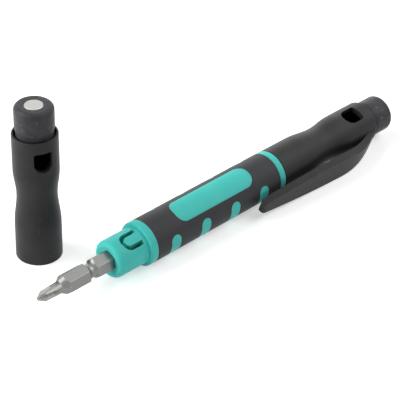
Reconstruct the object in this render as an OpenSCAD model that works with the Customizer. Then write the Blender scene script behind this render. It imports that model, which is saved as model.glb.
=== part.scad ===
// Pocket screwdriver with two reversible bits and two slide-off caps.
// The driver lies on the table along X with its front bit towards -X, and the front cap stands beside it.
// Distances along the driver are measured from the front end of the grip.
// Angles round the driver start at the side facing -Y and rise over the top.

/* [Handle] */
// Radius over the grip and over both collars
handle_r = 7.8; // [7.6:0.05:8.4]
// Length of the rubber grip
grip_l = 57.4; // [54:0.2:70]
// Length of each collar, from the grip to the shoulder that a cap's lip meets
collar_l = 2.7; // [2:0.1:4]
// Rounding of each collar's outer edge
collar_edge_r = 0.5; // [0.2:0.05:0.8]
// Radius of the noses that the caps slide over
nose_r = 6.55; // [6.4:0.05:6.7]
// Length of each nose in front of its collar
nose_l = 12.8; // [11.5:0.1:14]
// Rounding of the front edge of each nose
nose_edge_r = 1.5; // [0.8:0.1:1.6]
// Depth of the dished mouth round the bit
dish_depth = 0.45; // [0.3:0.05:1]
// Rounding of the small edges beside the seams
edge_break = 0.12; // [0.05:0.01:0.2]

/* [Grip pattern] */
// Thickness of the rubber over the core
grip_t = 1.2; // [0.9:0.1:1.4]
// Start of the bare panel behind the front end of the grip
panel_start = 11.3; // [9:0.1:14]
// Length of the panel
panel_l = 34.9; // [30:0.1:38]
// Width of the panel, measured straight across
panel_w = 8.6; // [7:0.1:9.6]
// Corner radius of the panel
panel_corner_r = 3.5; // [2:0.1:3.5]
// Angle of the panel's middle round the handle
panel_angle = 70; // [60:1:80]
// Number of bars
bar_count = 4; // [3:1:4]
// Distance from the front end of the grip to the middle of the first bar
bar_start = 8; // [6:0.1:10]
// Distance from bar to bar
bar_pitch = 13.75; // [12.5:0.05:14.5]
// Width of a bar
bar_w = 4.2; // [3:0.1:5]
// Angle at which the rounded end of a bar is centred
bar_end_angle = 3.6; // [-6:0.2:6]

/* [Tongue] */
// Angle of the sprung tongue's middle round the nose
tongue_angle = 66; // [60:1:75]
// Width of the tongue
tongue_w = 3.3; // [3:0.1:4.2]
// Width of the slot that frees the tongue
slot_w = 1.5; // [1:0.05:1.6]
// Distance from the front face of the nose to the tongue's free end
tongue_setback = 5.4; // [4.5:0.1:6]
// Length of the tongue
tongue_l = 6; // [4.5:0.1:6]
// Corner radius of the tongue's free end
tongue_corner_r = 1.4; // [0.8:0.1:1.5]

/* [Bits] */
// Width across flats of the hexagonal shank
hex_af = 6.35; // [6.2:0.01:6.4]
// Overall length of a bit
bit_l = 58; // [56:0.5:62]
// Length of a bit that stands out of its nose
bit_reach = 29.3; // [28.5:0.1:30]
// Angle of one corner of the hexagon round the driver
hex_corner_angle = 40; // [30:1:60]
// Length of the round neck and point at either end
neck_l = 8.8; // [8:0.1:10]
// Radius of the neck where it meets the shoulder
neck_r = 2.07; // [1.9:0.01:2.3]
// Axial length of the shoulder cone up to the hexagon's corners
shoulder_l = 2.5; // [1.8:0.1:3]
// Distance from the tip to the middle of the nearest round groove
groove_at = 21.3; // [20:0.1:22.5]
// Smallest radius in the groove
groove_floor_r = 2.45; // [2.2:0.01:2.6]
// Radius of the arc that makes the groove
groove_arc_r = 2.4; // [1.8:0.1:2.8]
// Length of the cross point's cone
point_l = 2.4; // [2:0.1:3]
// Radius of the flat at the very tip of the cross point
point_tip_r = 0.55; // [0.4:0.05:0.7]
// Radius over the wings behind the cone
wing_r = 1.85; // [1.7:0.01:1.95]
// Thickness of a wing at the tip
wing_t = 0.62; // [0.5:0.01:0.8]
// Angle at which the floors of the flutes rise from the tip
flute_slope = 6; // [4:0.5:8]
// Distance from the tip to where the flutes have run out
flute_l = 8.6; // [7:0.1:8.8]
// Angle at which the floors rise to that end
flute_end_slope = 20; // [16:1:30]
// Turn from a corner of the hexagon to the nearest wing
wing_turn = 15; // [0:1:30]
// Thickness of the flat blade at the other end
blade_t = 0.9; // [0.7:0.05:1.1]
// Length over which the flat blade is ground
blade_l = 5.5; // [4:0.1:7]

/* [Caps] */
// Length of a cap's sleeve
sleeve_l = 47.2; // [46.5:0.1:50]
// Radius of the sleeve at its mouth
mouth_r = 7.74; // [7.7:0.01:7.8]
// Radius of the sleeve at its closed end
rim_r = 7.6; // [7.5:0.01:7.7]
// Depth of the waist below the sleeve's straight line
waist_depth = 0.95; // [0.5:0.05:1.1]
// Distance from the mouth to the narrowest place
waist_at = 24; // [22:0.1:26]
// Length of the waist on the side of the mouth
waist_front_l = 11.5; // [10:0.1:13]
// Length of the waist on the side of the closed end
waist_back_l = 10; // [8.5:0.1:11]
// Bevel inside the mouth that leads a nose in
lead_in = 0.3; // [0.1:0.05:0.5]
// Rounding of the sleeve's outer edge at the closed end
rim_edge_r = 0.4; // [0.2:0.05:0.5]
// Radius of the chamber that takes the bit
chamber_r = 4.9; // [4.6:0.05:5]
// Radius of the wider bore at the closed end
rear_bore_r = 5.9; // [5.7:0.05:6]
// Distance from the mouth to where the rear bore starts
rear_bore_at = 32; // [31:0.1:33.5]
// Depth of the flared recess round the plug
recess_depth = 2; // [1.6:0.1:2.6]
// Wall left at the rim outside that recess
rim_wall = 0.6; // [0.4:0.05:0.7]
// Distance from the mouth to the rounded end of the standing cap's window
window_at = 36.1; // [35:0.1:36.5]
// Length of that window
window_l = 7.2; // [6.6:0.1:7.5]
// Width of that window
window_w = 6.2; // [5.4:0.1:6.6]
// Distance from the mouth to the rounded end of the tail cap's window
tail_window_at = 35.2; // [34.8:0.1:35.6]
// Length of the tail cap's window
tail_window_l = 7.7; // [7.2:0.1:8]
// Width of the tail cap's window
tail_window_w = 6.5; // [6:0.1:6.8]
// Corner radius at a window's straight end
window_corner_r = 0.9; // [0.4:0.1:1.2]

/* [Plugs and magnets] */
// Radius of the plug that the other cap can be posted on
plug_r = 6.53; // [6.4:0.01:6.55]
// Height of the plug above the sleeve's rim
plug_h = 10.15; // [9:0.05:11]
// Radius of the plug's neck at the rim
plug_neck_r = 6.2; // [6.1:0.01:6.3]
// Height of the neck above the rim
plug_neck_h = 0.6; // [0.4:0.1:1]
// Length over which the neck swells to the full radius
plug_swell_l = 2; // [1.5:0.1:3]
// Rounding of the plug's top edge
plug_edge_r = 1.6; // [1:0.1:1.8]
// Length of the plug's spigot inside the sleeve
spigot_l = 3.4; // [3:0.1:3.6]
// Wall of the plug's hollow underside
plug_wall = 1.4; // [1.2:0.1:1.6]
// Radius of the disc magnet
magnet_r = 3.17; // [3:0.01:3.2]
// Thickness of the disc magnet
magnet_t = 3; // [2:0.1:3.5]
// Thickness of plastic behind the magnet
magnet_floor_t = 1.4; // [1:0.1:2]
// Width of the bevel round the magnet's face
magnet_bevel = 0.2; // [0.1:0.05:0.3]

/* [Clip] */
// Angle of the clip's middle round the driver
clip_angle = -15; // [-16:0.5:-8]
// Distance from the driver's axis to the clip's outer face at its widest place
clip_out_r = 13.2; // [12.9:0.05:13.4]
// The same distance near the tip
clip_tip_r = 12.05; // [11.9:0.05:12.4]
// Thickness of the clip
clip_t = 2.75; // [2.4:0.05:2.9]
// Half of the clip's width at its widest place
clip_half_w = 4.5; // [4:0.05:4.5]
// Half of its width where the tip starts to round off
clip_tip_half_w = 2.2; // [1.8:0.05:2.4]
// Half of its width at the root
clip_root_half_w = 2.5; // [2.2:0.05:3]
// Distance from the cap's mouth to the widest place
clip_wide_at = 25; // [22:0.5:27]
// Distance that the clip reaches past the mouth
clip_overhang = 16.1; // [14:0.1:19]
// Length of the tip's rounded end
clip_tip_round_l = 2.8; // [2.4:0.1:4]
// Distance from the rim back to the end of the gap behind the clip
clip_root_l = 5.2; // [4.5:0.1:6]
// Radius of the bead under the clip
bead_r = 1.3; // [1:0.1:1.5]
// Distance from the clip's tip to the middle of the bead
bead_at = 6; // [5:0.1:8]
// Gap between the handle and the bead
bead_gap = 0.5; // [0.4:0.05:0.8]

/* [Standing cap] */
// Place of the standing cap along the driver
stand_x = -21.76; // [-30:0.1:-18]
// Distance of the standing cap from the driver's axis
stand_y = 26.87; // [24:0.1:40]
// Direction in which its window faces, seen from above
stand_turn = -109.5; // [-180:0.5:180]

/* [Clearances] */
// Radial clearance between a nose and a cap
cap_fit = 0.06; // [0.04:0.01:0.08]
// Clearance of a bit in its socket, on each flat
bit_fit = 0.06; // [0.04:0.01:0.08]
// Gap between a bit's inner end and the floor of its socket
bit_end_gap = 0.1; // [0.05:0.05:0.3]
// Gap between a nose's face and the shoulder inside a cap
nose_end_gap = 0.3; // [0.2:0.1:0.5]
// Gap left between pieces that are moulded or glued together
bond_gap = 0.02; // [0.02:0.01:0.04]
// Gap between a cap's lip and the collar it meets
lip_gap = 0.08; // [0.05:0.01:0.12]

/* [Hidden] */
$fn = 96;
ARC_STEPS = 10;
CURVE_STEPS = 16;
BAR_END_SIDES = 24;
over = 2;

// Lengths along the driver, from the front end of the grip
nose_face_s = -(collar_l + nose_l);
bit_tip_s = nose_face_s - bit_reach;
tail_face_s = grip_l - nose_face_s;
mouth_s = grip_l + collar_l + lip_gap;
cap_l = sleeve_l + plug_h;
tail_end_s = mouth_s + cap_l;
socket_l = bit_l - bit_reach + bit_end_gap;

// Radii that follow from the sizes above
core_r = handle_r - grip_t;
hex_corner_r = hex_af / sqrt(3);
socket_corner_r = hex_corner_r + bit_fit * 2 / sqrt(3);
dish_r = nose_r - nose_edge_r;
cap_bore_r = nose_r + cap_fit;
nose_seat_z = nose_l - lip_gap + nose_end_gap;

// Place of the driver and of the standing cap, with the whole centred over the origin
clip_low_y = clip_out_r * cos(clip_angle) - clip_half_w * sin(clip_angle);
origin_x = -(bit_tip_s + tail_end_s) / 2;
origin_y = -(stand_y + mouth_r - clip_low_y) / 2;

// A quarter of an ellipse from [x0, y1] to [x1, y0], bulging away from [x0, y0]
function quarter(x0, y0, x1, y1) =
    [for (i = [0 : ARC_STEPS]) [x0 + (x1 - x0) * sin(90 * i / ARC_STEPS), y0 + (y1 - y0) * cos(90 * i / ARC_STEPS)]];
function flipped(points) = [for (i = [len(points) - 1 : -1 : 0]) points[i]];
function mixed(a, b, t) = a + (b - a) * t;
function cubic(a, b, c, d, t) =
    pow(1 - t, 3) * a + 3 * pow(1 - t, 2) * t * b + 3 * (1 - t) * pow(t, 2) * c + pow(t, 3) * d;

// Turns a shape that stands on its Z axis so that it lies along the driver
module on_driver(s) {
    translate([origin_x + s, origin_y, handle_r]) rotate([0, 90, 0]) children();
}

// Turns a shape so that its own X axis points outwards at an angle round the driver
module facing(angle) {
    rotate([0, 0, 270 - angle]) children();
}

// A rectangle with rounded corners, from circles and squares, so that its arcs stay true
module rounded_plate(length, width, corner) {
    square([length - 2 * corner, width], center = true);
    square([length, width - 2 * corner], center = true);
    for (x = [-1, 1], y = [-1, 1])
        translate([x * (length / 2 - corner), y * (width / 2 - corner)]) circle(corner);
}

// Stands a flat outline up on a face that looks along X: its X runs along Z and its Y sideways
module outward(from, to) {
    translate([from, 0, 0]) rotate([0, 90, 0]) linear_extrude(to - from) rotate(180) children();
}

// Core: one end of its outline, from the nose's face back to the grip, as radius and distance from the face
end_points = concat(
    [[0, dish_depth], [socket_corner_r + edge_break, dish_depth]],
    quarter(dish_r, nose_edge_r, nose_r, 0),
    [[nose_r, nose_l]],
    quarter(handle_r - collar_edge_r, nose_l + collar_edge_r, handle_r, nose_l));

// The outline is turned round the axis from the side opposite the tongues, so that no slot meets the seam
module core_body() {
    far = tail_face_s - nose_face_s;
    rear_points = flipped([for (p = end_points) [p[0], far - p[1]]]);
    facing(tongue_angle + 180) rotate_extrude() polygon(concat(end_points, rear_points));
}

// The room that the rubber takes out of the core, with a small bevel on each collar's edge
module grip_room() {
    rotate_extrude() polygon([
        [core_r, 0], [handle_r - edge_break, 0], [handle_r + edge_break, -2 * edge_break],
        [handle_r + edge_break, grip_l + 2 * edge_break], [handle_r - edge_break, grip_l], [core_r, grip_l]]);
}

// Part of a ring that holds every angle from one to another, going round through the underside
module ring_sector(from, to, inner, outer, height) {
    rotate([0, 0, 270 - from]) rotate_extrude(angle = from - to)
        translate([inner, 0]) square([outer - inner, height]);
}

// Rounded end of a bar, with a flat on each side where the bar's straight sides end
module bar_end(half_w) {
    turn = 360 / BAR_END_SIDES;
    polygon([for (k = [0 : BAR_END_SIDES - 1]) half_w * [sin(turn * (k + 0.5)), cos(turn * (k + 0.5))]]);
}

// Panel and bars as tall blanks, which the ring above trims to the handle's surface
module pattern_blanks(spare) {
    facing(panel_angle) translate([0, 0, panel_start + panel_l / 2])
        outward(core_r / 2, handle_r + over)
            rounded_plate(panel_l + 2 * spare, panel_w + 2 * spare, panel_corner_r + spare);
    far_end_angle = 2 * panel_angle - bar_end_angle - 360;
    for (i = [0 : bar_count - 1]) translate([0, 0, bar_start + i * bar_pitch]) {
        translate([0, 0, -bar_w / 2 - spare])
            ring_sector(bar_end_angle, far_end_angle, core_r / 2, handle_r + over, bar_w + 2 * spare);
        for (a = [bar_end_angle, far_end_angle]) facing(a)
            outward(core_r / 2, handle_r + over) bar_end(bar_w / 2 + spare);
    }
}

// Slot round three sides of the tongue, cut inwards to the bit's socket
module tongue_slot() {
    outer_w = tongue_w + 2 * slot_w;
    slot_len = tongue_l + slot_w;
    root_z = tongue_setback + tongue_l;
    facing(tongue_angle) difference() {
        translate([0, 0, root_z - slot_len / 2])
            outward(hex_af / 4, handle_r) tongue_outline(slot_len, outer_w, tongue_corner_r + slot_w);
        translate([0, 0, root_z - tongue_l / 2])
            outward(0, handle_r + over) tongue_outline(tongue_l, tongue_w, tongue_corner_r);
    }
}

// Outline with two rounded corners at its low end and a straight far end
module tongue_outline(length, width, corner) {
    translate([corner / 2, 0]) square([length - corner, width], center = true);
    translate([-length / 2 + corner, 0]) square([2 * corner, width - 2 * corner], center = true);
    for (y = [-1, 1]) translate([-length / 2 + corner, y * (width / 2 - corner)]) circle(corner);
}

// Hexagonal socket and the tongue's slot at one end
module end_cuts() {
    translate([0, 0, -over]) facing(hex_corner_angle) cylinder(r = socket_corner_r, h = socket_l + over, $fn = 6);
    tongue_slot();
}

module handle_core() color("#45bdb1") on_driver(nose_face_s) {
    length = tail_face_s - nose_face_s;
    difference() {
        core_body();
        translate([0, 0, -nose_face_s]) difference() {
            grip_room();
            pattern_blanks(-bond_gap);
        }
        end_cuts();
        translate([0, 0, length]) mirror([0, 0, 1]) end_cuts();
    }
}

// Rubber skin over the core, open where the panel and the bars come through
module grip_sleeve() color("#49484c") on_driver(0) {
    inner = core_r + bond_gap;
    difference() {
        rotate_extrude() polygon([
            [inner, bond_gap], [handle_r - edge_break, bond_gap], [handle_r, bond_gap + edge_break],
            [handle_r, grip_l - bond_gap - edge_break], [handle_r - edge_break, grip_l - bond_gap],
            [inner, grip_l - bond_gap]]);
        pattern_blanks(0);
    }
}

// Half outline of a bit at one end, as radius and distance from the tip
module bit_end_outline(tip_r, cone_l, shaft_r) {
    polygon([[0, 0], [tip_r, 0], [shaft_r, cone_l], [neck_r, neck_l],
             [hex_corner_r, neck_l + shoulder_l], [hex_corner_r, bit_l / 2], [0, bit_l / 2]]);
}

// Ring-shaped cutter for the round groove
module groove_cutter() {
    translate([0, 0, groove_at]) rotate_extrude() difference() {
        translate([groove_floor_r + groove_arc_r, 0]) circle(groove_arc_r);
        translate([groove_floor_r + groove_arc_r, -groove_arc_r]) square(2 * groove_arc_r);
    }
    translate([0, 0, groove_at - groove_arc_r]) difference() {
        cylinder(r = groove_floor_r + groove_arc_r + over, h = 2 * groove_arc_r);
        translate([0, 0, -over]) cylinder(r = groove_floor_r + groove_arc_r, h = 2 * groove_arc_r + 2 * over);
    }
}

// Square-edged prism whose lower edge passes a distance from the axis at a height, and rises at an angle
module sloped_edge(edge_r, edge_z, slope) {
    rotate([0, 0, 45]) translate([edge_r, 0, edge_z]) rotate([0, slope, 0]) rotate([0, 0, -45])
        translate([0, 0, -2 * flute_l]) cube([4 * neck_r, 4 * neck_r, 4 * flute_l]);
}

// One flute between two wings: its floor rises gently from the tip and then runs out at the neck
module flute() {
    intersection() {
        sloped_edge(wing_t / sqrt(2), 0, flute_slope);
        sloped_edge(neck_r, flute_l, flute_end_slope);
    }
}

// Ground face of the flat blade
module blade_grind() {
    run_out = atan((neck_r - blade_t / 2) / blade_l);
    translate([blade_t / 2, -neck_r * 2, 0]) rotate([0, run_out, 0])
        translate([0, 0, -over]) cube([2 * neck_r, 4 * neck_r, blade_l + 2 * over]);
}

// A reversible bit standing on its cross point
module bit() {
    difference() {
        intersection() {
            facing(hex_corner_angle) cylinder(r = hex_corner_r, h = bit_l, $fn = 6);
            union() {
                rotate_extrude() bit_end_outline(point_tip_r, point_l, wing_r);
                translate([0, 0, bit_l]) mirror([0, 0, 1]) rotate_extrude() bit_end_outline(neck_r, neck_l / 2, neck_r);
            }
        }
        groove_cutter();
        translate([0, 0, bit_l]) mirror([0, 0, 1]) groove_cutter();
        for (i = [0 : 3]) facing(hex_corner_angle + wing_turn + 90 * i) flute();
        translate([0, 0, bit_l]) mirror([0, 0, 1]) for (i = [0, 1]) facing(hex_corner_angle + 180 * i) blade_grind();
    }
}

module front_bit() color("#9d9d9b") on_driver(bit_tip_s) bit();

module rear_bit() color("#9d9d9b") on_driver(grip_l - bit_tip_s) mirror([0, 0, 1]) bit();

// Radius of a sleeve's outside at a distance from the mouth
function waist_share(z) =
    z < waist_at - waist_front_l || z > waist_at + waist_back_l ? 0 :
    (1 + cos(180 * (z - waist_at) / (z < waist_at ? waist_front_l : waist_back_l))) / 2;
function sleeve_r(z) = mixed(mouth_r, rim_r, z / sleeve_l) - waist_depth * waist_share(z);

// Outside of a sleeve from mouth to rim, with more points along the waist
waist_start_z = waist_at - waist_front_l;
waist_end_z = waist_at + waist_back_l;
sleeve_points = concat(
    [[sleeve_r(0) - edge_break, 0], [sleeve_r(edge_break), edge_break]],
    [for (i = [0 : 2 * CURVE_STEPS])
        let (z = mixed(waist_start_z, waist_end_z, i / (2 * CURVE_STEPS))) [sleeve_r(z), z]],
    [for (p = quarter(sleeve_l - rim_edge_r, rim_r - rim_edge_r, sleeve_l, rim_r)) [p[1], p[0]]]);

// Inside of a sleeve from the rim back to the mouth
sleeve_inner_points = concat(
    [[rim_r - rim_wall, sleeve_l],
     [rear_bore_r, sleeve_l - recess_depth],
     [rear_bore_r, rear_bore_at],
     [chamber_r, rear_bore_at - (rear_bore_r - chamber_r)],
     [chamber_r, nose_seat_z],
     [cap_bore_r, nose_seat_z],
     [cap_bore_r, lead_in],
     [cap_bore_r + lead_in, 0]]);

// Window with one round end and one straight end, as distance from the mouth, length and width
module sleeve_window(at, length, width) {
    round_z = at + width / 2;
    translate([0, 0, round_z]) rotate([0, 90, 0]) cylinder(r = width / 2, h = handle_r + over);
    box_l = length - width / 2;
    translate([0, 0, round_z + box_l / 2]) outward(0, handle_r + over) union() {
        translate([-window_corner_r / 2, 0]) square([box_l - window_corner_r, width], center = true);
        translate([box_l / 2 - window_corner_r, 0])
            square([2 * window_corner_r, width - 2 * window_corner_r], center = true);
        for (y = [-1, 1]) translate([box_l / 2 - window_corner_r, y * (width / 2 - window_corner_r)])
            circle(window_corner_r);
    }
}

// Sleeve standing on its mouth, with its window looking along X
module cap_sleeve(at, length, width) {
    difference() {
        rotate_extrude() polygon(concat(sleeve_points, sleeve_inner_points));
        sleeve_window(at, length, width);
    }
}

// Plug of a cap, placed for a sleeve that stands on its mouth
module cap_plug() {
    base_z = sleeve_l - spigot_l;
    rim_z = sleeve_l;
    top_z = sleeve_l + plug_h;
    pocket_z = top_z - magnet_t;
    shoulder_z = sleeve_l - recess_depth * (rim_r - rim_wall - plug_neck_r) / (rim_r - rim_wall - rear_bore_r);
    swell_z = rim_z + plug_neck_h;
    difference() {
        rotate_extrude() polygon(concat(
            [[0, base_z], [rear_bore_r - bond_gap, base_z],
             [rear_bore_r - bond_gap, sleeve_l - recess_depth],
             [plug_neck_r - bond_gap, shoulder_z],
             [plug_neck_r, rim_z]],
            [for (i = [0 : ARC_STEPS]) let (t = i / ARC_STEPS)
                [mixed(plug_neck_r, plug_r, (1 - cos(180 * t)) / 2), swell_z + plug_swell_l * t]],
            [for (p = quarter(top_z - plug_edge_r, plug_r - plug_edge_r, top_z, plug_r)) [p[1], p[0]]],
            [[0, top_z]]));
        translate([0, 0, pocket_z - bond_gap]) cylinder(r = magnet_r + bond_gap, h = magnet_t + over);
        hollow_top = pocket_z - magnet_floor_t;
        translate([0, 0, base_z - over])
            cylinder(r = rear_bore_r - plug_wall, h = hollow_top - base_z + over);
    }
}

module cap_magnet() {
    top_z = sleeve_l + plug_h;
    rotate_extrude() polygon([
        [0, top_z - magnet_t], [magnet_r, top_z - magnet_t], [magnet_r, top_z - magnet_bevel],
        [magnet_r - magnet_bevel, top_z], [0, top_z]]);
}

// Shares that shape the clip's curves
tip_edge_share = 0.55;
outer_run_shares = [0.42, 0.52];
outer_bow_shares = [0.05, 0.35];
inner_run_shares = [0.3, 0.6];
inner_bow_shares = [1.6, 0.95];
swell_share = 0.9;
neck_share = 2 / 3;

// Stations of the clip along the cap, from the mouth
clip_tip_z = -clip_overhang;
clip_round_z = clip_tip_z + clip_tip_round_l;
clip_gap_z = sleeve_l - clip_root_l;

// Side view of the clip as distance from the mouth and distance from the axis
clip_outer = concat(
    [for (i = [0 : ARC_STEPS]) let (a = 90 * i / ARC_STEPS)
        [clip_round_z - clip_tip_round_l * cos(a), mixed(clip_tip_r - clip_t * tip_edge_share, clip_tip_r, sin(a))]],
    [[clip_wide_at, clip_out_r]],
    [for (i = [1 : CURVE_STEPS]) let (t = i / CURVE_STEPS)
        [cubic(clip_wide_at, mixed(clip_wide_at, sleeve_l, outer_run_shares[0]),
               mixed(clip_wide_at, sleeve_l, outer_run_shares[1]), sleeve_l - rim_edge_r, t),
         cubic(clip_out_r, clip_out_r + clip_t * outer_bow_shares[0], clip_out_r - clip_t * outer_bow_shares[1],
               rim_r - rim_edge_r, t)]]);
clip_inner = concat(
    [for (i = [0 : CURVE_STEPS]) let (t = i / CURVE_STEPS)
        [cubic(clip_gap_z, mixed(clip_gap_z, clip_wide_at, inner_run_shares[0]),
               mixed(clip_gap_z, clip_wide_at, inner_run_shares[1]), clip_wide_at, t),
         cubic(rim_r - rim_edge_r, clip_out_r - clip_t * inner_bow_shares[0],
               clip_out_r - clip_t * inner_bow_shares[1], clip_out_r - clip_t, t)]],
    [[clip_round_z, clip_tip_r - clip_t]]);

// Front view of the clip as distance from the mouth and half width
clip_plan = concat(
    [for (i = [0 : ARC_STEPS]) let (a = 90 * i / ARC_STEPS)
        [clip_round_z - clip_tip_round_l * cos(a), clip_tip_half_w * sin(a)]],
    [for (i = [1 : CURVE_STEPS]) let (t = i / CURVE_STEPS)
        [mixed(clip_round_z, clip_wide_at, t), mixed(clip_tip_half_w, clip_half_w, pow(sin(90 * t), swell_share))]],
    [for (i = [1 : CURVE_STEPS]) let (t = i / CURVE_STEPS)
        [mixed(clip_wide_at, sleeve_l, t),
         cubic(clip_half_w, clip_half_w, clip_root_half_w, clip_root_half_w, min(1, t / neck_share))]]);

module clip() {
    root = rear_bore_r + (rim_r - rear_bore_r) / 2;
    intersection() {
        rotate([90, 0, 90]) translate([0, 0, -clip_half_w - over]) linear_extrude(2 * (clip_half_w + over))
            polygon(concat([for (p = clip_outer) [p[1], p[0]]], [[root, sleeve_l - rim_edge_r], [root, clip_gap_z]],
                           [for (p = clip_inner) [p[1], p[0]]]));
        rotate([-90, 0, 0]) linear_extrude(clip_out_r + over)
            polygon(concat([for (p = clip_plan) [p[1], -p[0]]], flipped([for (p = clip_plan) [-p[1], -p[0]]])));
    }
    translate([0, handle_r + bead_gap + bead_r, clip_tip_z + bead_at]) sphere(bead_r);
}

module on_stand() {
    translate([origin_x + stand_x, origin_y + stand_y, 0]) rotate([0, 0, stand_turn]) children();
}

module on_tail() {
    on_driver(mouth_s) facing(clip_angle + 90) children();
}

module front_cap_sleeve() color("#3f3f41") on_stand() cap_sleeve(window_at, window_l, window_w);

module front_cap_plug() color("#39393b") on_stand() cap_plug();

module front_cap_magnet() color("#d6d8c9") on_stand() cap_magnet();

module tail_cap_sleeve() color("#3f3f41") on_tail() {
    cap_sleeve(tail_window_at, tail_window_l, tail_window_w);
    clip();
}

module tail_cap_plug() color("#39393b") on_tail() cap_plug();

module tail_cap_magnet() color("#d6d8c9") on_tail() cap_magnet();

handle_core();
grip_sleeve();
front_bit();
rear_bit();
front_cap_sleeve();
front_cap_plug();
front_cap_magnet();
tail_cap_sleeve();
tail_cap_plug();
tail_cap_magnet();
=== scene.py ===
"""Looks of a pocket screwdriver that lies on a white table with its front cap standing beside it."""

import logging
import math
from dataclasses import dataclass, field
from enum import Enum

import bmesh
import bpy
from mathutils import Matrix, Vector
from mathutils.bvhtree import BVHTree


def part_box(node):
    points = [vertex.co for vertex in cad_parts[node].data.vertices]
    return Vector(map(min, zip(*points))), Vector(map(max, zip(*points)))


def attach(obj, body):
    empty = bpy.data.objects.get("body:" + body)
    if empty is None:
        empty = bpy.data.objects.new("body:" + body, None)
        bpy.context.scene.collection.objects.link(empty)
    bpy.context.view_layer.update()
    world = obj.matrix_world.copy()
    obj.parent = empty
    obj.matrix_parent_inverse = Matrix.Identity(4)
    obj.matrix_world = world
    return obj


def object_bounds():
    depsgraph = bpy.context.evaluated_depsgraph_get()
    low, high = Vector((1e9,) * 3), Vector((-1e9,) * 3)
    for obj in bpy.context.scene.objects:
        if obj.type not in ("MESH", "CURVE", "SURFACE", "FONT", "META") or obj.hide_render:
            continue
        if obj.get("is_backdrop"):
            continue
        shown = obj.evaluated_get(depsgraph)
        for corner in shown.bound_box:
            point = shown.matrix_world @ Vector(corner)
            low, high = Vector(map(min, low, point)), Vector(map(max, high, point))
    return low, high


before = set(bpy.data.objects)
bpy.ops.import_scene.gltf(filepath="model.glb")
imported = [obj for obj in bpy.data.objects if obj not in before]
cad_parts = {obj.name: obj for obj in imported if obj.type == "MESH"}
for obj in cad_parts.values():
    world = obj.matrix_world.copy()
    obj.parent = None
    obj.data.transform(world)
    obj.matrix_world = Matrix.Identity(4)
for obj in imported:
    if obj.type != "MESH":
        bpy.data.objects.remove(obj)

LOG = logging.getLogger("pocket_screwdriver")
MM = 0.001

# The pale edge colour, partly wear and partly painted highlight, begins and is full at these cosines
# between the rounded and the true normal of an edge
WEAR_AND_HIGHLIGHT_BEGINS = 0.995
WEAR_AND_HIGHLIGHT_IS_FULL = 0.90
BEVEL_SAMPLES = 6

# Sockets of the Mix node that carry colours
MIX_UNWORN = 6
# The second colour is the pale one of wear and of painted edge highlight
MIX_WEAR_AND_HIGHLIGHT = 7
MIX_RESULT = 2


class Node(Enum):
    """Names of the solids in the frame."""

    CORE = "handle_core"
    GRIP = "grip_sleeve"
    FRONT_BIT = "front_bit"
    REAR_BIT = "rear_bit"
    FRONT_SLEEVE = "front_cap_sleeve"
    FRONT_PLUG = "front_cap_plug"
    FRONT_MAGNET = "front_cap_magnet"
    TAIL_SLEEVE = "tail_cap_sleeve"
    TAIL_PLUG = "tail_cap_plug"
    TAIL_MAGNET = "tail_cap_magnet"


def linear_colour(code: str) -> tuple[float, float, float, float]:
    """Turns an sRGB hex colour into the linear colour that a shader takes.

    Args:
        code: six hex digits with a leading hash.

    Returns:
        Linear red, green and blue, and an alpha of one.
    """
    channels = [int(code[i : i + 2], 16) / 255 for i in (1, 3, 5)]
    linear = [c / 12.92 if c <= 0.04045 else ((c + 0.055) / 1.055) ** 2.4 for c in channels]
    return (linear[0], linear[1], linear[2], 1.0)


def add_node(
    tree: bpy.types.NodeTree, kind: str, links: dict[str | int, object] | None = None, **settings: object
) -> bpy.types.Node:
    """Adds one shader node with its settings, socket values and links.

    Args:
        tree: node tree of a material or the world.
        kind: node type without its leading "ShaderNode".
        links: input name or index to a value, or to the output socket that feeds it.
        **settings: the node's own attributes.

    Returns:
        The new node.
    """
    node = tree.nodes.new("ShaderNode" + kind)
    for name, value in settings.items():
        setattr(node, name, value)
    for key, value in (links or {}).items():
        if isinstance(value, bpy.types.NodeSocket):
            tree.links.new(value, node.inputs[key])
        else:
            node.inputs[key].default_value = value
    return node


def empty_material(name: str) -> bpy.types.Material:
    """Makes a material whose node tree holds nothing yet.

    Args:
        name: the material's name.

    Returns:
        The material.
    """
    material = bpy.data.materials.new(name)
    material.use_nodes = True
    material.node_tree.nodes.clear()
    return material


def pattern_scale(spot_mm: float) -> float:
    """Turns the real size of a pattern's spots into the scale that a texture takes."""
    return 1 / (spot_mm * MM)


def worn_and_highlit_edges(
    tree: bpy.types.NodeTree, edge_mm: float, share: float
) -> tuple[bpy.types.NodeSocket, bpy.types.NodeSocket]:
    """Rounds the edges for the light, and finds the edges that are painted paler, partly as wear and partly
    as painted highlight.

    Args:
        tree: node tree of a material.
        edge_mm: radius of the rounding.
        share: share of the pale edge colour on a sharp edge.

    Returns:
        The rounded normal, and the share of the pale edge colour, which is wear and painted highlight.
    """
    rounded = add_node(tree, "Bevel", {"Radius": edge_mm * MM}, samples=BEVEL_SAMPLES).outputs[0]
    true_normal = add_node(tree, "NewGeometry").outputs["Normal"]
    facing = add_node(tree, "VectorMath", {0: rounded, 1: true_normal}, operation="DOT_PRODUCT")
    # Paler colour on edges: partly wear, partly painted highlight on the rounded edges
    edge_wear_and_highlight = add_node(tree, "MapRange", {
        "Value": facing.outputs["Value"],
        "From Min": WEAR_AND_HIGHLIGHT_BEGINS,
        "From Max": WEAR_AND_HIGHLIGHT_IS_FULL,
        "To Min": 0.0,
        "To Max": share,
    })
    return rounded, edge_wear_and_highlight.outputs[0]


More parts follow.
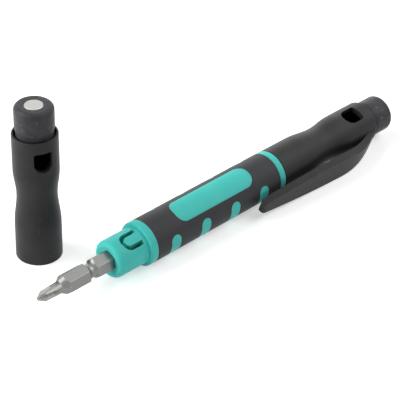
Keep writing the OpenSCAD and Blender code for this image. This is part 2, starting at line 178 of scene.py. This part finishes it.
@dataclass(frozen=True)
class MouldedPolymer:
    """Injection-moulded polymer with a spark-eroded mould's fine grain.

    The grain breaks the highlight up, so the surface looks satin, and handling leaves faint paler marks.
    Edges are painted paler, partly as wear and partly as a painted highlight.
    """

    name: str
    base: str
    # Pale colour of handling marks, and of edges, where it is partly wear and partly painted highlight
    wear_and_highlight: str
    roughness: float
    gloss_spread: tuple[float, float] = (-0.05, 0.07)
    ior: float = 1.52
    specular: float = 0.3
    # The real grain is finer than a tenth of a millimetre, and is drawn this coarse so that it shows
    grain_mm: float = 0.35
    grain_detail: float = 2.0
    grain_depth_mm: float = 0.012
    mottle_mm: float = 6.0
    mottle_detail: float = 3.0
    mottle_range: tuple[float, float] = (0.35, 0.75)
    mottle_share: float = 0.18
    scuff_mm: float = 1.6
    scuff_detail: float = 4.0
    scuff_range: tuple[float, float] = (0.6, 0.68)
    scuff_share: float = 0.0
    edge_mm: float = 0.18
    edge_share: float = 0.35
    translucent: float = 0.0
    glow_mm: tuple[float, float, float] = (1.6, 2.6, 2.5)

    def build(self) -> bpy.types.Material:
        """Makes the material.

        Returns:
            The material with its nodes.
        """
        material = empty_material(self.name)
        tree = material.node_tree
        place = add_node(tree, "TexCoord").outputs["Object"]
        rounded, edge = worn_and_highlit_edges(tree, self.edge_mm, self.edge_share)
        handled = self.handled(tree, place)
        # Share of the pale colour: painted edge highlight and wear on edges, and handling marks
        wear_and_highlight = add_node(tree, "Math", {0: edge, 1: handled}, operation="ADD", use_clamp=True)
        colour = add_node(tree, "Mix", {
            "Factor": wear_and_highlight.outputs[0],
            MIX_UNWORN: linear_colour(self.base),
            MIX_WEAR_AND_HIGHLIGHT: linear_colour(self.wear_and_highlight),
        }, data_type="RGBA")
        grain = add_node(tree, "TexNoise", {
            "Vector": place,
            "Scale": pattern_scale(self.grain_mm),
            "Detail": self.grain_detail,
        }).outputs["Fac"]
        gloss = add_node(tree, "MapRange", {
            "Value": grain,
            "To Min": self.roughness + self.gloss_spread[0],
            "To Max": self.roughness + self.gloss_spread[1],
        })
        bump = add_node(tree, "Bump", {
            "Height": grain,
            "Distance": self.grain_depth_mm * MM,
            "Normal": rounded,
        })
        shader = add_node(tree, "BsdfPrincipled", {
            "Base Color": colour.outputs[MIX_RESULT],
            "Roughness": gloss.outputs[0],
            "IOR": self.ior,
            "Specular IOR Level": self.specular,
            "Subsurface Weight": self.translucent,
            "Subsurface Radius": self.glow_mm,
            "Subsurface Scale": MM,
            "Normal": bump.outputs[0],
        })
        add_node(tree, "OutputMaterial", {"Surface": shader.outputs[0]})
        return material

    def handled(self, tree: bpy.types.NodeTree, place: bpy.types.NodeSocket) -> bpy.types.NodeSocket:
        """Finds the marks that handling leaves: broad paler patches and small scuffs.

        Args:
            tree: node tree of the material.
            place: object coordinates in metres.

        Returns:
            The share of the worn colour.
        """
        mottle = add_node(tree, "TexNoise", {
            "Vector": place,
            "Scale": pattern_scale(self.mottle_mm),
            "Detail": self.mottle_detail,
        })
        patches = add_node(tree, "MapRange", {
            "Value": mottle.outputs["Fac"],
            "From Min": self.mottle_range[0],
            "From Max": self.mottle_range[1],
            "To Min": 0.0,
            "To Max": self.mottle_share,
        }).outputs[0]
        fleck = add_node(tree, "TexNoise", {
            "Vector": place,
            "Scale": pattern_scale(self.scuff_mm),
            "Detail": self.scuff_detail,
        })
        scuffs = add_node(tree, "MapRange", {
            "Value": fleck.outputs["Fac"],
            "From Min": self.scuff_range[0],
            "From Max": self.scuff_range[1],
            "To Min": 0.0,
            "To Max": self.scuff_share,
        }).outputs[0]
        return add_node(tree, "Math", {0: scuffs, 1: patches}, operation="MAXIMUM").outputs[0]


@dataclass(frozen=True)
class SatinSteel:
    """Steel that is ground and then nickel plated to a satin surface.

    Fine grinding lines run along the piece, and the edges are painted brighter, partly as worn metal and
    partly as a painted highlight.
    """

    name: str
    base: str
    # Pale colour of the edges: partly worn metal, partly painted highlight
    wear_and_highlight: str
    roughness: float
    gloss_spread: tuple[float, float] = (-0.06, 0.06)
    # Real grinding lines are some hundredths of a millimetre apart, and are drawn this coarse to show
    line_mm: float = 0.3
    line_length_mm: float = 6.0
    line_detail: float = 2.0
    line_depth_mm: float = 0.003
    mottle_mm: float = 2.5
    mottle_detail: float = 2.0
    edge_mm: float = 0.15
    edge_share: float = 0.5

    def build(self) -> bpy.types.Material:
        """Makes the material.

        Returns:
            The material with its nodes.
        """
        material = empty_material(self.name)
        tree = material.node_tree
        place = add_node(tree, "TexCoord").outputs["Object"]
        rounded, edge = worn_and_highlit_edges(tree, self.edge_mm, self.edge_share)
        stretch = (self.line_mm / self.line_length_mm, 1, 1)
        stretched = add_node(tree, "Mapping", {"Vector": place, "Scale": stretch})
        lines = add_node(tree, "TexNoise", {
            "Vector": stretched.outputs[0],
            "Scale": pattern_scale(self.line_mm),
            "Detail": self.line_detail,
        })
        mottle = add_node(tree, "TexNoise", {
            "Vector": place,
            "Scale": pattern_scale(self.mottle_mm),
            "Detail": self.mottle_detail,
        })
        colour = add_node(tree, "Mix", {
            "Factor": edge,
            MIX_UNWORN: linear_colour(self.base),
            MIX_WEAR_AND_HIGHLIGHT: linear_colour(self.wear_and_highlight),
        }, data_type="RGBA")
        gloss = add_node(tree, "MapRange", {
            "Value": mottle.outputs["Fac"],
            "To Min": self.roughness + self.gloss_spread[0],
            "To Max": self.roughness + self.gloss_spread[1],
        })
        bump = add_node(tree, "Bump", {
            "Height": lines.outputs["Fac"],
            "Distance": self.line_depth_mm * MM,
            "Normal": rounded,
        })
        shader = add_node(tree, "BsdfPrincipled", {
            "Base Color": colour.outputs[MIX_RESULT],
            "Metallic": 1.0,
            "Roughness": gloss.outputs[0],
            "Normal": bump.outputs[0],
        })
        add_node(tree, "OutputMaterial", {"Surface": shader.outputs[0]})
        return material


# Dyed nylon with a shallow grain: even colour, and light that sinks in and softens the edges; its paler
# edges are painted highlight, with some wear
TEAL_NYLON = MouldedPolymer(
    "teal_nylon_moulded", base="#4fd0c7", wear_and_highlight="#68ded5", roughness=0.42, specular=0.12,
    grain_depth_mm=0.006, translucent=0.25,
)
# Soft elastomer moulded over the core: nearly matte, a little paler where fingers rub it, and with paler
# edges that are partly wear and partly painted highlight
GRIP_ELASTOMER = MouldedPolymer(
    "grey_elastomer_moulded", base="#3b3c3e", wear_and_highlight="#525053", roughness=0.5, specular=0.13,
)
# Dark grey nylon from an eroded mould: satin, with few marks; its paler edges are mostly painted highlight
# along the rims and the clip, with some wear
CAP_NYLON = MouldedPolymer(
    "grey_nylon_moulded", base="#272628", wear_and_highlight="#5c5c5e", roughness=0.46, specular=0.18,
    mottle_share=0.08, scuff_share=0.1,
)
# Nylon of the posts, which the other cap rubs when it is put on them: more pale scuffs, and paler edges
# that are partly wear and partly a painted highlight on the plug's rounded rim
PLUG_NYLON = MouldedPolymer(
    "dark_nylon_moulded", base="#39383b", wear_and_highlight="#7a797f", roughness=0.42, specular=0.14,
    mottle_mm=3.0, mottle_share=0.12, scuff_share=0.35,
)
# Ground hexagonal bar, plated: lines along the shank, and edges painted paler, partly as wear and partly as
# a painted highlight along the hexagon's ridges
BIT_STEEL = SatinSteel(
    "tool_steel_ground_plated", base="#7c7c7a", wear_and_highlight="#b2b2ad", roughness=0.38, edge_mm=0.25,
)
# Plated disc: pale, even metal with a dull shine, and paler edges that are partly wear and partly painted
# highlight
MAGNET_NICKEL = SatinSteel(
    "magnet_nickel_plated", base="#b1b2ae", wear_and_highlight="#cbcbc5", roughness=0.45, line_length_mm=0.3,
)


def dress(node: Node, finish: MouldedPolymer | SatinSteel) -> None:
    """Gives a solid of the frame its finish.

    Args:
        node: the solid.
        finish: what it is made of.
    """
    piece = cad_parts[node.value]
    material = bpy.data.materials.get(finish.name) or finish.build()
    for slot in piece.material_slots:
        slot.material = material
    LOG.info("%s dressed in %s", node.value, finish.name)


@dataclass
class Handle:
    """The handle: a teal core that shows through its grey grip."""

    core: Node = Node.CORE
    grip: Node = Node.GRIP

    def build(self) -> None:
        """Dresses the handle's two mouldings."""
        dress(self.core, TEAL_NYLON)
        dress(self.grip, GRIP_ELASTOMER)


@dataclass(frozen=True)
class BitSkin:
    """The faces of a bit, a point on its axis and the place of its tip along X."""

    surface: BVHTree
    axis: Vector
    tip_m: float
    ray_start_mm: float = 10.0

    def point(self, along_m: float, turn: float) -> tuple[Vector, Vector] | None:
        """Finds the skin in one direction from the axis.

        Args:
            along_m: place along X.
            turn: angle round the axis, in radians.

        Returns:
            Place and normal of the skin, or None where the bit ends.
        """
        outward = Vector((0, -math.cos(turn), math.sin(turn)))
        start = Vector((along_m, self.axis.y, self.axis.z)) + outward * self.ray_start_mm * MM
        place, normal, _, _ = self.surface.ray_cast(start, -outward)
        return None if place is None else (place, normal)

    def reach(self, along_m: float, turn: float) -> float:
        """Measures how far the skin lies from the axis, or nought where the bit ends."""
        found = self.point(along_m, turn)
        return (found[0] - Vector((along_m, self.axis.y, self.axis.z))).length if found else 0.0


@dataclass
class Bit:
    """One reversible bit, with fine ribs pressed into the driving flanks of its cross point."""

    node: Node
    outward: float
    wings: int = 4
    wing_search_deg: int = 3
    first_rib_mm: float = 0.7
    last_rib_mm: float = 6.6
    rib_pitch_mm: float = 0.63
    rib_width_mm: float = 0.4
    rib_height_mm: float = 0.12
    rib_sink_mm: float = 0.03
    rib_lean_mm: float = 0.55
    rib_steps: int = 8
    flank_from_share: float = 0.12
    flank_to_share: float = 0.86
    fade_share: float = 0.1

    def build(self) -> None:
        """Dresses the bit and adds its ribs."""
        dress(self.node, BIT_STEEL)
        ribs = self.ribs()
        ribs.data.materials.append(bpy.data.materials[BIT_STEEL.name])
        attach(ribs, self.node.value)
        LOG.info("%s built with %d faces", ribs.name, len(ribs.data.polygons))

    def skin(self) -> BitSkin:
        """Reads the bit's faces, axis and tip from the frame.

        Returns:
            The bit's skin.
        """
        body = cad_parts[self.node.value].data
        corners = [vertex.co for vertex in body.vertices]
        surface = BVHTree.FromPolygons(corners, [list(face.vertices) for face in body.polygons])
        low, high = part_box(self.node.value)
        return BitSkin(surface, (low + high) / 2, low.x if self.outward < 0 else high.x)

    def wing_turn(self, skin: BitSkin) -> float:
        """Finds the turn of the first wing, where the point reaches farthest from its axis.

        Args:
            skin: the bit's skin.

        Returns:
            The angle round the axis, in radians.
        """
        middle = skin.tip_m - self.outward * self.last_rib_mm * MM / 2
        degrees = range(0, 360 // self.wings, self.wing_search_deg)
        return math.radians(max(degrees, key=lambda degree: skin.reach(middle, math.radians(degree))))

    def rib(self, mesh: bmesh.types.BMesh, skin: BitSkin, wing: float, inward_mm: float) -> None:
        """Adds one low ridge that leans along the bit from a wing to the hollow beside it.

        Args:
            mesh: the mesh that takes the ridge.
            skin: the bit's skin.
            wing: the wing's angle round the axis, in radians.
            inward_mm: distance from the tip at which the ridge begins.
        """
        side = Vector((self.rib_width_mm * MM / 2, 0, 0))
        half_sector = math.tau / self.wings / 2
        rows = []
        for step in range(self.rib_steps + 1):
            share = step / self.rib_steps
            across = self.flank_from_share + (self.flank_to_share - self.flank_from_share) * share
            along = skin.tip_m - self.outward * (inward_mm + self.rib_lean_mm * share) * MM
            found = skin.point(along, wing - self.outward * across * half_sector)
            if found is None:
                continue
            place, normal = found
            sunk = place - normal * self.rib_sink_mm * MM
            # The crown fades out at both ends, as a pressed rib does
            swell = math.sin(math.pi * (self.fade_share + (1 - 2 * self.fade_share) * share))
            crown = place + normal * self.rib_height_mm * MM * swell
            rows.append([mesh.verts.new(point) for point in (sunk - side, crown, sunk + side)])
        for one, other in zip(rows, rows[1:]):
            for left, right in ((0, 1), (1, 2), (2, 0)):
                mesh.faces.new((one[left], one[right], other[right], other[left]))
        if len(rows) > 1:
            mesh.faces.new(rows[0][::-1])
            mesh.faces.new(rows[-1])

    def ribs(self) -> bpy.types.Object:
        """Builds the ribs of all flanks.

        Returns:
            The ribs as one object.
        """
        skin = self.skin()
        first_wing = self.wing_turn(skin)
        count = int((self.last_rib_mm - self.first_rib_mm) / self.rib_pitch_mm) + 1
        mesh = bmesh.new()
        for index in range(self.wings):
            for number in range(count):
                wing = first_wing + index * math.tau / self.wings
                self.rib(mesh, skin, wing, self.first_rib_mm + number * self.rib_pitch_mm)
        bmesh.ops.recalc_face_normals(mesh, faces=mesh.faces)
        data = bpy.data.meshes.new(self.node.value + "_ribs")
        mesh.to_mesh(data)
        mesh.free()
        ribs = bpy.data.objects.new(self.node.value + "_ribs", data)
        bpy.context.scene.collection.objects.link(ribs)
        return ribs


@dataclass
class Cap:
    """One cap: sleeve, plug and magnet."""

    sleeve: Node
    plug: Node
    magnet: Node

    def build(self) -> None:
        """Dresses the cap's three pieces."""
        dress(self.sleeve, CAP_NYLON)
        dress(self.plug, PLUG_NYLON)
        dress(self.magnet, MAGNET_NICKEL)


@dataclass
class Table:
    """White table top that carries the soft shadow, and the white room round it."""

    half_m: float = 0.6
    colour: str = "#f4f4f4"
    # White that the table adds of its own where it is seen, which keeps the shadow pale
    lift: float = 0.5
    room_colour: str = "#ffffff"

    def build(self) -> None:
        """Makes the table and the room."""
        half = self.half_m
        corners = [(-half, -half, 0), (half, -half, 0), (half, half, 0), (-half, half, 0)]
        mesh = bpy.data.meshes.new("table_top")
        mesh.from_pydata(corners, [], [(0, 1, 2, 3)])
        table = bpy.data.objects.new("table_top", mesh)
        bpy.context.scene.collection.objects.link(table)
        mesh.materials.append(self.surface())
        table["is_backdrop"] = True
        self.room()

    def seen_directly(self, tree: bpy.types.NodeTree) -> bpy.types.NodeSocket:
        """Adds the test for rays that show a surface: straight, mirrored or through glass.

        Args:
            tree: node tree that takes the nodes.

        Returns:
            A socket that is one on those rays.
        """
        path = add_node(tree, "LightPath").outputs
        mirrored = add_node(tree, "Math", {0: path["Is Camera Ray"], 1: path["Is Glossy Ray"]},
                            operation="MAXIMUM").outputs[0]
        through = add_node(tree, "Math", {0: mirrored, 1: path["Is Transmission Ray"]},
                           operation="MAXIMUM").outputs[0]
        return through

    def surface(self) -> bpy.types.Material:
        """Makes the table's matte white surface.

        Returns:
            The material.
        """
        material = empty_material("white_table")
        tree = material.node_tree
        matte = add_node(tree, "BsdfDiffuse", {"Color": linear_colour(self.colour)})
        strength = add_node(tree, "Math", {0: self.seen_directly(tree), 1: self.lift}, operation="MULTIPLY")
        glow = add_node(tree, "Emission", {"Strength": strength.outputs[0]})
        both = add_node(tree, "AddShader", {0: matte.outputs[0], 1: glow.outputs[0]})
        add_node(tree, "OutputMaterial", {"Surface": both.outputs[0]})
        return material

    def room(self) -> None:
        """Makes the room white where it is seen or mirrored, and leaves other light to the softboxes."""
        world = bpy.data.worlds.new("white_room")
        world.use_nodes = True
        bpy.context.scene.world = world
        tree = world.node_tree
        tree.nodes.clear()
        light = add_node(tree, "Background", {
            "Color": linear_colour(self.room_colour),
            "Strength": self.seen_directly(tree),
        })
        add_node(tree, "OutputWorld", {"Surface": light.outputs[0]})


@dataclass(frozen=True)
class Softbox:
    """One large soft lamp, placed round the object by angles.

    An azimuth of nought lies towards -Y, and one of 90 degrees towards +X.
    """

    name: str
    azimuth_deg: float
    elevation_deg: float
    width_m: float
    radiance: float
    distance_m: float = 0.9

    def build(self, centre: Vector) -> None:
        """Makes the lamp.

        Args:
            centre: point that the lamp faces.
        """
        turn = math.radians(self.azimuth_deg)
        rise = math.radians(self.elevation_deg)
        level = Vector((math.sin(turn), -math.cos(turn), 0)) * math.cos(rise)
        back = level + Vector((0, 0, math.sin(rise)))
        data = bpy.data.lights.new(self.name, "AREA")
        data.size = self.width_m
        data.energy = self.radiance * math.pi * self.width_m**2
        lamp = bpy.data.objects.new(self.name, data)
        lamp.location = centre + back * self.distance_m
        lamp.rotation_mode = "QUATERNION"
        lamp.rotation_quaternion = (-back).to_track_quat("-Z", "Y")
        bpy.context.scene.collection.objects.link(lamp)


@dataclass(frozen=True)
class Camera:
    """The photograph's viewpoint, fitted from the driver's own edges."""

    heading_deg: float = 44.965
    pitch_deg: float = 35.015
    roll_deg: float = 1.305
    distance_m: float = 0.62594
    aim_from_centre_m: tuple[float, float] = (0.00174, 0.00172)
    lens_mm: float = 162.93
    sensor_mm: float = 36.0
    clip_ratio: float = 100.0

    def build(self, centre: Vector) -> None:
        """Makes the camera.

        Args:
            centre: middle of the object's footprint on the table.
        """
        heading = math.radians(self.heading_deg)
        pitch = math.radians(self.pitch_deg)
        roll = math.radians(self.roll_deg)
        level = Vector((math.cos(heading), math.sin(heading), 0)) * math.cos(pitch)
        ahead = level - Vector((0, 0, math.sin(pitch)))
        level_right = Vector((math.sin(heading), -math.cos(heading), 0))
        level_up = level_right.cross(ahead)
        right = level_right * math.cos(roll) + level_up * math.sin(roll)
        up = level_up * math.cos(roll) - level_right * math.sin(roll)
        data = bpy.data.cameras.new("photo_view")
        data.lens = self.lens_mm
        data.sensor_width = self.sensor_mm
        data.clip_start = self.distance_m / self.clip_ratio
        data.clip_end = self.distance_m * self.clip_ratio
        view = bpy.data.objects.new("photo_view", data)
        aim = centre + Vector((*self.aim_from_centre_m, 0))
        turn = Matrix((right, up, -ahead)).transposed().to_4x4()
        view.matrix_world = Matrix.Translation(aim - ahead * self.distance_m) @ turn
        bpy.context.scene.collection.objects.link(view)
        bpy.context.scene.camera = view


def both_bits() -> tuple[Bit, Bit]:
    """Lists the two bits, which point out of opposite ends."""
    return (Bit(Node.FRONT_BIT, -1.0), Bit(Node.REAR_BIT, 1.0))


def both_caps() -> tuple[Cap, Cap]:
    """Lists the standing cap and the cap on the tail.

    Returns:
        The two caps.
    """
    standing = Cap(Node.FRONT_SLEEVE, Node.FRONT_PLUG, Node.FRONT_MAGNET)
    on_tail = Cap(Node.TAIL_SLEEVE, Node.TAIL_PLUG, Node.TAIL_MAGNET)
    return (standing, on_tail)


@dataclass
class Screwdriver:
    """The whole object, built from its sub-assemblies."""

    handle: Handle = field(default_factory=Handle)
    bits: tuple[Bit, Bit] = field(default_factory=both_bits)
    caps: tuple[Cap, Cap] = field(default_factory=both_caps)

    def build(self) -> None:
        """Builds every sub-assembly in order."""
        for part in (self.handle, *self.bits, *self.caps):
            part.build()


SOFTBOXES = (
    Softbox("left_low_softbox", azimuth_deg=-135.0, elevation_deg=15.0, width_m=0.5, radiance=3.2),
    Softbox("front_left_low_softbox", azimuth_deg=-90.0, elevation_deg=15.0, width_m=0.5, radiance=3.1),
    Softbox("back_low_softbox", azimuth_deg=135.0, elevation_deg=15.0, width_m=0.5, radiance=1.4),
    Softbox("right_back_softbox", azimuth_deg=90.0, elevation_deg=45.0, width_m=0.7, radiance=0.8),
    Softbox("left_high_softbox", azimuth_deg=-135.0, elevation_deg=45.0, width_m=0.7, radiance=3.6),
    Softbox("right_softbox", azimuth_deg=45.0, elevation_deg=45.0, width_m=0.7, radiance=2.6),
)


def main() -> None:
    """Builds the scene: camera, light, table and the dressed object."""
    logging.basicConfig(level=logging.INFO, format="%(message)s")
    low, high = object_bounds()
    centre = Vector(((low.x + high.x) / 2, (low.y + high.y) / 2, 0))
    bpy.context.scene.view_settings.view_transform = "Standard"
    Camera().build(centre)
    for lamp in SOFTBOXES:
        lamp.build(centre)
    Table().build()
    Screwdriver().build()


if __name__ == "__main__":
    main()
